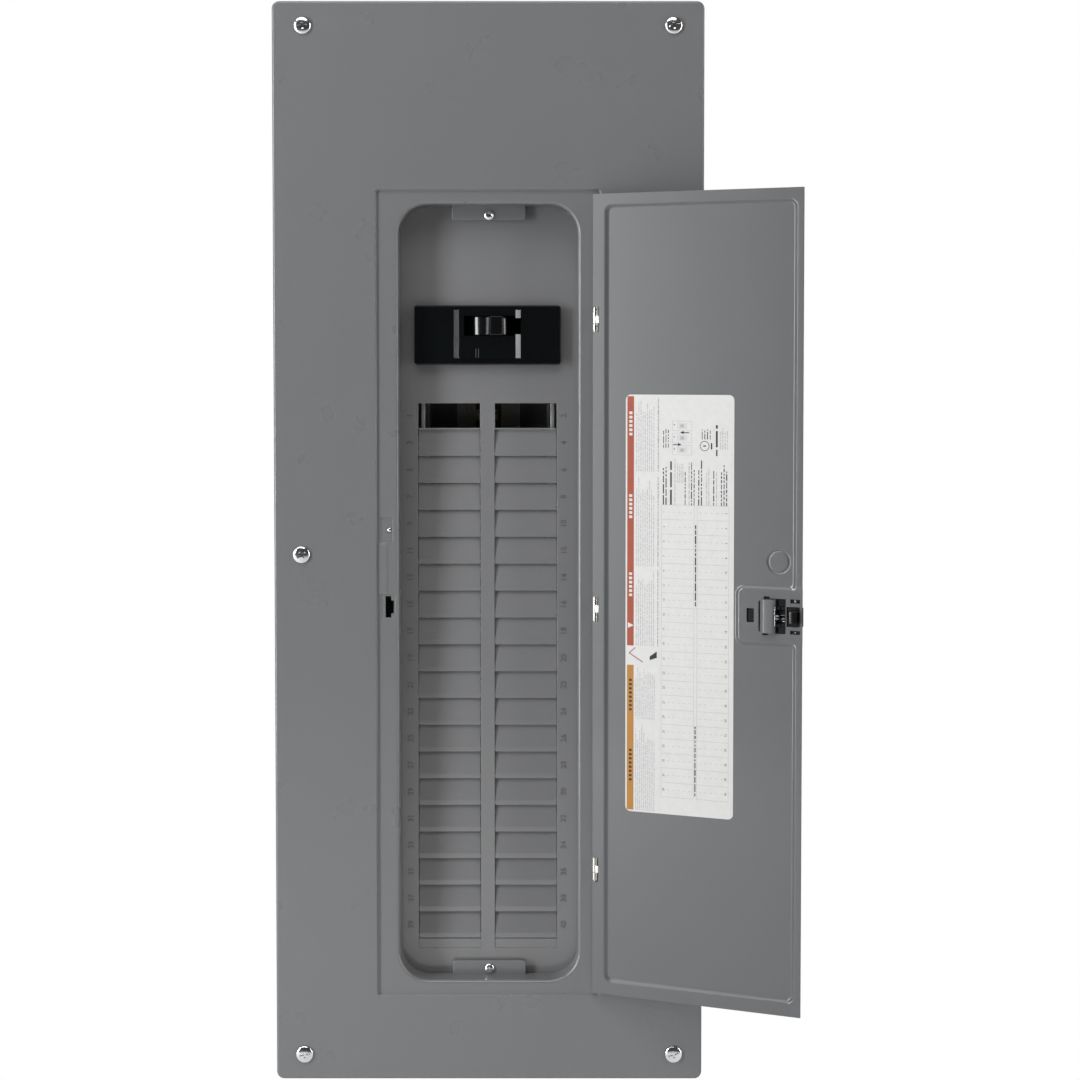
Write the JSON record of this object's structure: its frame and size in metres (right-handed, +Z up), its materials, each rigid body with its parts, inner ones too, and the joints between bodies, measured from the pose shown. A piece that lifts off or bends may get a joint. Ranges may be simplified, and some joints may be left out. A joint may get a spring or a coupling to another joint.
{
  "type": "residential load center",
  "caption": "Tall grey wall-mounted electrical load center with its hinged door open, showing a black main breaker, two open breaker slots and columns of twist-out plates.",
  "frame": {"origin": "centre of the enclosure's back face, which goes against the wall", "axes": "+Z up, +X right seen from the front, +Y into the wall; the front faces -Y"},
  "size_m": [0.4805, 0.1883, 1.003],
  "materials": {
    "enclosure_paint": "semi-gloss baked grey paint",
    "cover_paint": "semi-gloss baked grey paint",
    "deadfront_paint": "semi-gloss baked grey paint",
    "door_paint": "semi-gloss baked grey paint",
    "galvanised_sheet": "spangled zinc coating",
    "zinc_hinge": "bright zinc plate",
    "zinc_screw": "bright zinc plate",
    "green_screw": "green dyed zinc plate",
    "aluminium_bar": "extruded, tin plated",
    "copper": "rolled copper",
    "insulator_black": "moulded glass-filled polyester",
    "insulator_natural": "moulded nylon",
    "breaker_case": "moulded thermoset with a light gloss",
    "breaker_handle": "moulded thermoset with a light gloss",
    "crossbar_phenolic": "moulded phenolic",
    "latch_black": "moulded nylon",
    "label_film": null
  },
  "bodies": {
    "enclosure": {"box_wrap": "enclosure_paint", "top_end_wall": "enclosure_paint", "bottom_end_wall": "enclosure_paint", "cover_panel": "cover_paint", "lip_left": "cover_paint", "lip_right": "cover_paint", "lip_top": "cover_paint", "lip_bottom": "cover_paint", "deadfront_tabs": "cover_paint", "deadfront_plate": "deadfront_paint", "interior_pan": "galvanised_sheet", "branch_rail_left": "galvanised_sheet", "branch_rail_right": "galvanised_sheet", "arc_chutes": "galvanised_sheet", "hinge_leaf_cover_upper": "zinc_hinge", "hinge_leaf_cover_middle": "zinc_hinge", "hinge_leaf_cover_lower": "zinc_hinge", "hinge_pin_upper": "zinc_hinge", "hinge_pin_middle": "zinc_hinge", "hinge_pin_lower": "zinc_hinge", "cover_screws": "zinc_screw", "deadfront_screws": "zinc_screw", "interior_screws": "zinc_screw", "ground_bar_screws": "zinc_screw", "ground_mount_screws": "zinc_screw", "neutral_screws": "zinc_screw", "neutral_lug_screw": "zinc_screw", "lug_screws": "zinc_screw", "breaker_screws": "zinc_screw", "bus_bolts": "zinc_screw", "handle_pin": "zinc_screw", "crossbar_pin": "zinc_screw", "bonding_screw": "green_screw", "ground_bar": "aluminium_bar", "neutral_bar_left": "aluminium_bar", "neutral_bar_right": "aluminium_bar", "neutral_strap": "aluminium_bar", "neutral_lug": "aluminium_bar", "line_lug_left": "aluminium_bar", "line_lug_right": "aluminium_bar", "bus_bar_a": "aluminium_bar", "bus_bar_b": "aluminium_bar", "load_strap_left": "copper", "load_strap_right": "copper", "fixed_contacts": "copper", "bus_insulator": "insulator_black", "bus_barrier": "insulator_black", "neutral_insulators": "insulator_natural", "breaker_base": "breaker_case", "breaker_cover": "breaker_case"},
    "door": {"door_panel": "door_paint", "hinge_leaf_door_upper": "zinc_hinge", "hinge_leaf_door_middle": "zinc_hinge", "hinge_leaf_door_lower": "zinc_hinge", "latch_housing": "door_paint", "directory_label": "label_film"},
    "latch": {"latch_slide": "latch_black", "latch_spring": "zinc_screw"},
    "breaker_handle": {"main_handle": "breaker_handle"},
    "breaker_contacts": {"contact_crossbar": "crossbar_phenolic", "contact_arms": "copper"}
  },
  "joints": [
    {"name": "door_hinge", "type": "hinge", "parent": "enclosure", "child": "door", "pos_m": [0.0988, -0.0986, -0.0585], "axis": [0, 0, 1], "range_deg": [-155.5, 13]},
    {"name": "latch_slide", "type": "slide", "parent": "door", "child": "latch", "axis": [-0.91, 0.4147, 0], "range_m": [0, 0.004], "stiffness_N_per_m": 250},
    {"name": "main_handle_throw", "type": "hinge", "parent": "enclosure", "child": "breaker_handle", "pos_m": [0.00055, -0.05, 0.2039], "axis": [0, 0, 1], "range_deg": [-19.6, 0]},
    {"name": "contact_swing", "type": "hinge", "parent": "enclosure", "child": "breaker_contacts", "pos_m": [-0.0396, -0.032, 0.21], "axis": [0, 0, 1], "range_deg": [-25, 0]}
  ],
  "couplings": [
    {"joint": "contact_swing", "follows": "main_handle_throw", "ratio": 1.27}
  ]
}
